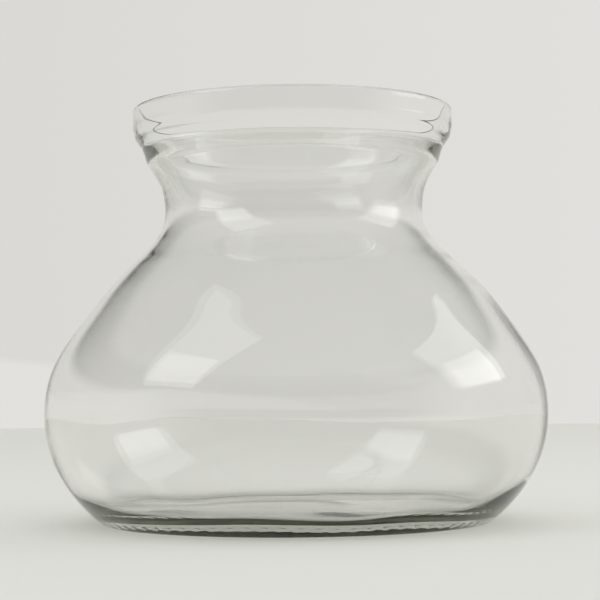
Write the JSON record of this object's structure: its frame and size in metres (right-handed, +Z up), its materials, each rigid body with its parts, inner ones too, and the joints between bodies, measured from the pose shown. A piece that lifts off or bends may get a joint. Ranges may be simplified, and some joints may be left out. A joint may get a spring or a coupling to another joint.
{
  "type": "wide-mouth glass jar",
  "caption": "Squat clear glass jar with a round belly, narrow throat, flared collar and banded rim, open at the top and standing on a flat ring.",
  "frame": {"origin": "centre of the flat ring that the jar stands on", "axes": "+Z up through the mouth; the jar is round about Z, so X and Y are free"},
  "size_m": [0.16, 0.16, 0.132],
  "materials": {
    "clear_glass": "fire-polished clear soda-lime glass with a faint green-grey tint where it is thick"
  },
  "bodies": {
    "root": {"jar": "clear_glass"}
  },
  "joints": []
}
